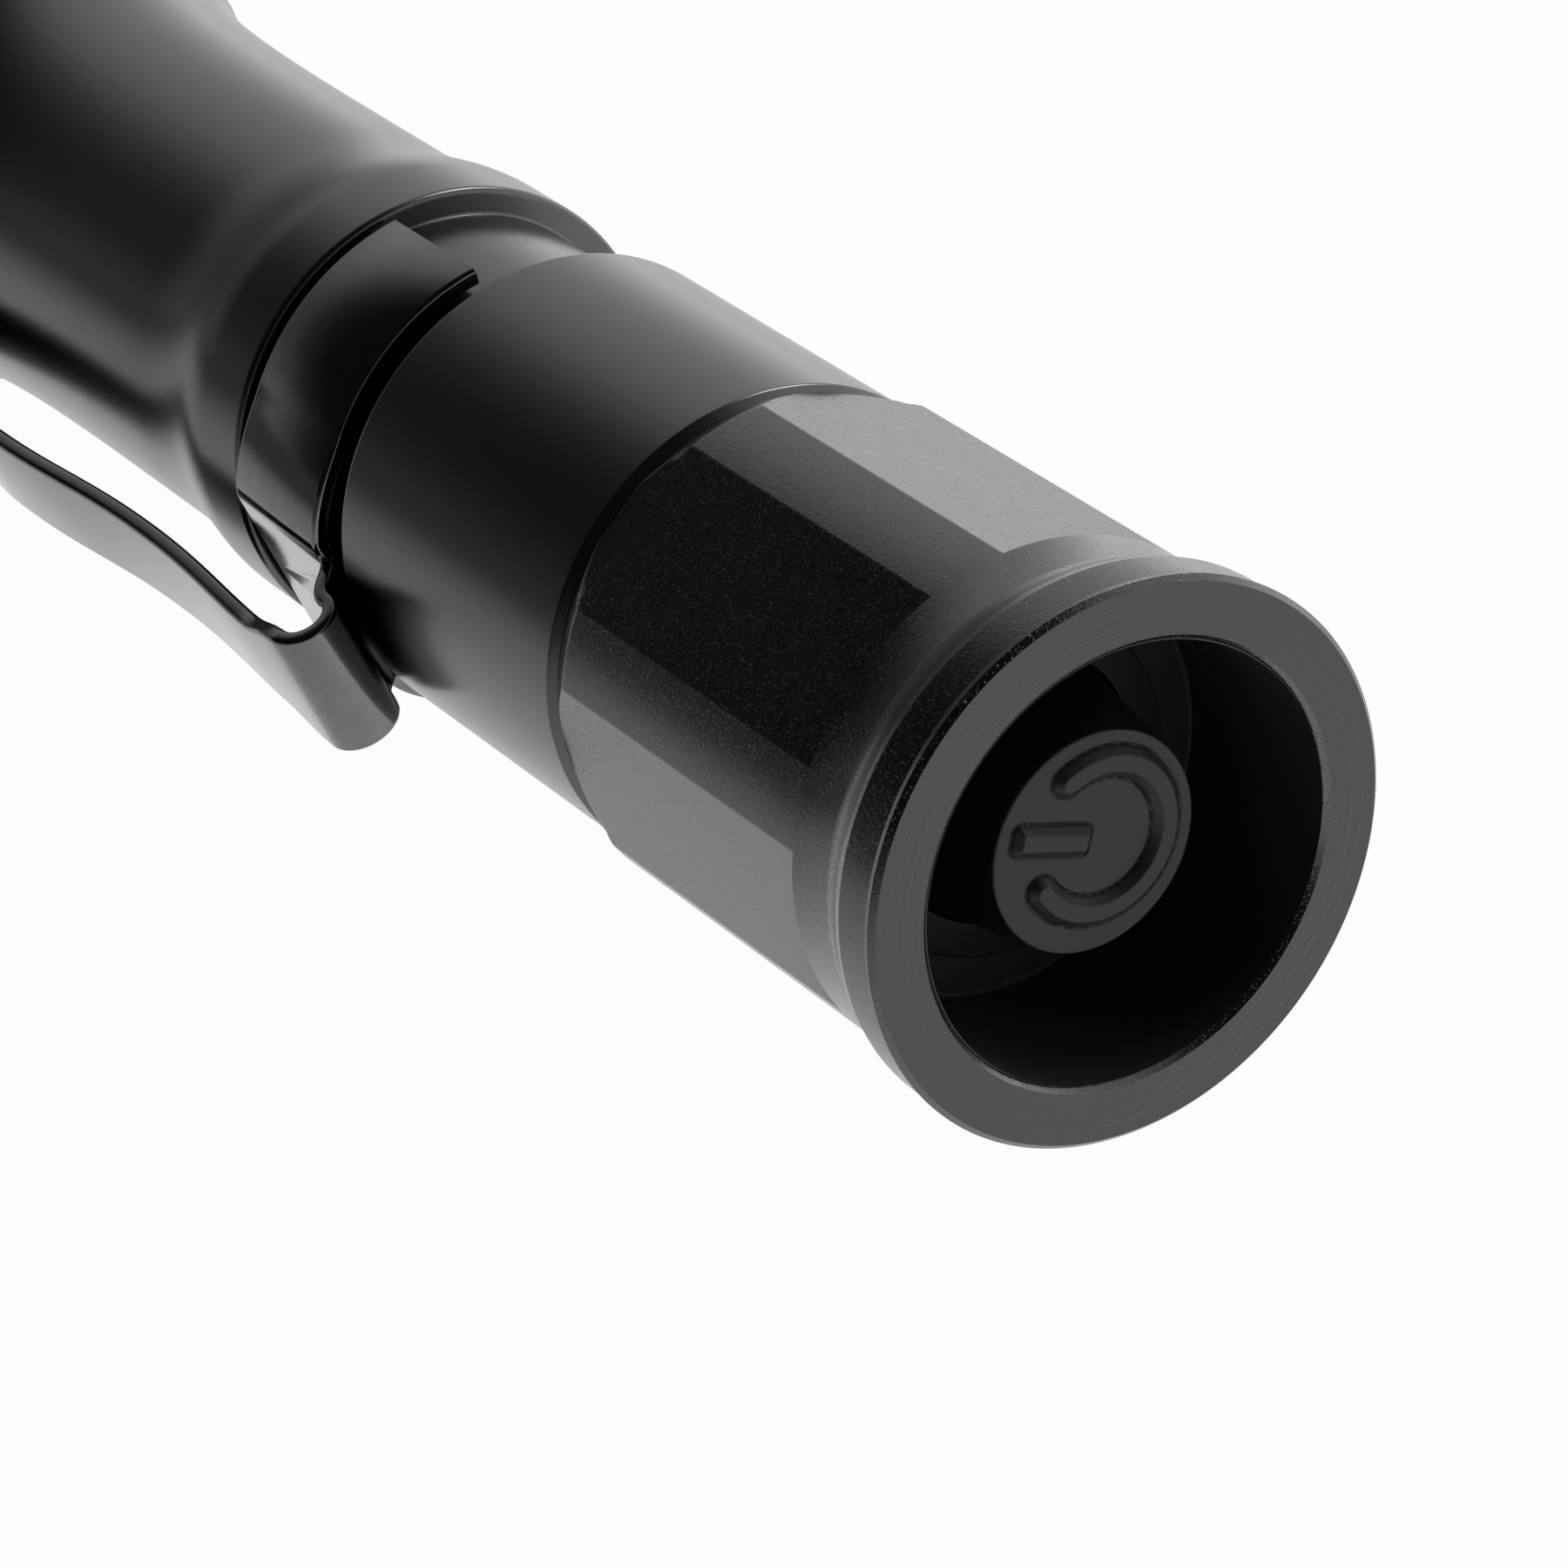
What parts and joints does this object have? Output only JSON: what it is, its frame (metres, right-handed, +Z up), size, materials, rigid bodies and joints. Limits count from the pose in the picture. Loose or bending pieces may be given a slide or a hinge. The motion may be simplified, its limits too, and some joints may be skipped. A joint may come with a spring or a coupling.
{
  "type": "flashlight",
  "caption": "Slim pocket flashlight with a recessed tail switch, a screw tail cap with flats, a swivelling pocket clip and a finned head.",
  "frame": {"origin": "bottom centre of the bounding box, with the light lying on its side on the tail rim and the head's lower anti-roll flat", "axes": "+X along the light's axis, the way the light shines; +Z up; +Y the side that carries the pocket clip"},
  "size_m": [0.1268, 0.0308, 0.027],
  "materials": {
    "anodised": "bead-blasted black anodised aluminium",
    "boot_rubber": "matte black silicone rubber",
    "trim": "satin black",
    "clip_steel": "black spring steel, polished",
    "steel": "nickel plated",
    "brass": "turned brass",
    "gold_plate": "gold plated spring wire",
    "board": "green solder mask",
    "star_board": "white solder mask on metal core",
    "white_plastic": "moulded white",
    "black_plastic": "moulded black",
    "ferrite": "grey ferrite",
    "cell_wrap": "blue shrink sleeve over the cell's can",
    "wire_red": "red silicone insulation",
    "wire_black": "black silicone insulation",
    "silicone": "clear silicone dome over yellow phosphor",
    "reflector": "vacuum-coated aluminium",
    "lens": "coated mineral glass"
  },
  "bodies": {
    "light": {"body_tube": "anodised", "battery_cell": "cell_wrap", "battery_terminal": "steel", "driver_spring": "gold_plate", "driver_retaining_ring": "brass", "driver_board": "board", "driver_inductor": "ferrite", "driver_chip": "black_plastic", "led_wire_positive": "wire_red", "led_wire_negative": "wire_black", "led_board": "star_board", "led_board_screw_top": "steel", "led_board_screw_bottom": "steel", "led_emitter": "white_plastic", "led_dome": "silicone", "led_gasket": "white_plastic", "reflector": "reflector", "lens": "lens", "lens_gasket": "boot_rubber", "bezel": "anodised"},
    "cap_seal": {"tail_o_ring": "boot_rubber"},
    "tail_cap": {"tail_cap": "anodised", "button_trim_ring": "trim", "switch_body": "black_plastic", "switch_board": "board", "switch_retaining_ring": "brass", "tail_spring": "gold_plate"},
    "button": {"tail_button": "boot_rubber"},
    "plunger": {"switch_plunger": "white_plastic"},
    "clip": {"pocket_clip": "clip_steel"}
  },
  "joints": [
    {"name": "cap_turn", "type": "hinge", "parent": "light", "child": "cap_seal", "pos_m": [-0.04038, -0.00079, 0.01348], "axis": [-1, 0, 0], "range_deg": [0, 1620]},
    {"name": "cap_advance", "type": "slide", "parent": "cap_seal", "child": "tail_cap", "axis": [-1, 0, 0], "range_m": [0, 0.00565]},
    {"name": "button_press", "type": "slide", "parent": "tail_cap", "child": "button", "axis": [1, 0, 0], "range_m": [0, 0.0016], "stiffness_N_per_m": 2500},
    {"name": "plunger_press", "type": "slide", "parent": "tail_cap", "child": "plunger", "axis": [1, 0, 0], "range_m": [0, 0.00165]},
    {"name": "clip_swivel", "type": "hinge", "parent": "light", "child": "clip", "pos_m": [-0.00946, -0.00079, 0.01348], "axis": [1, 0, 0], "continuous": true}
  ],
  "couplings": [
    {"joint": "cap_advance", "follows": "cap_turn", "m_per_rad": 0.00019894},
    {"joint": "plunger_press", "follows": "button_press", "ratio": 1}
  ]
}
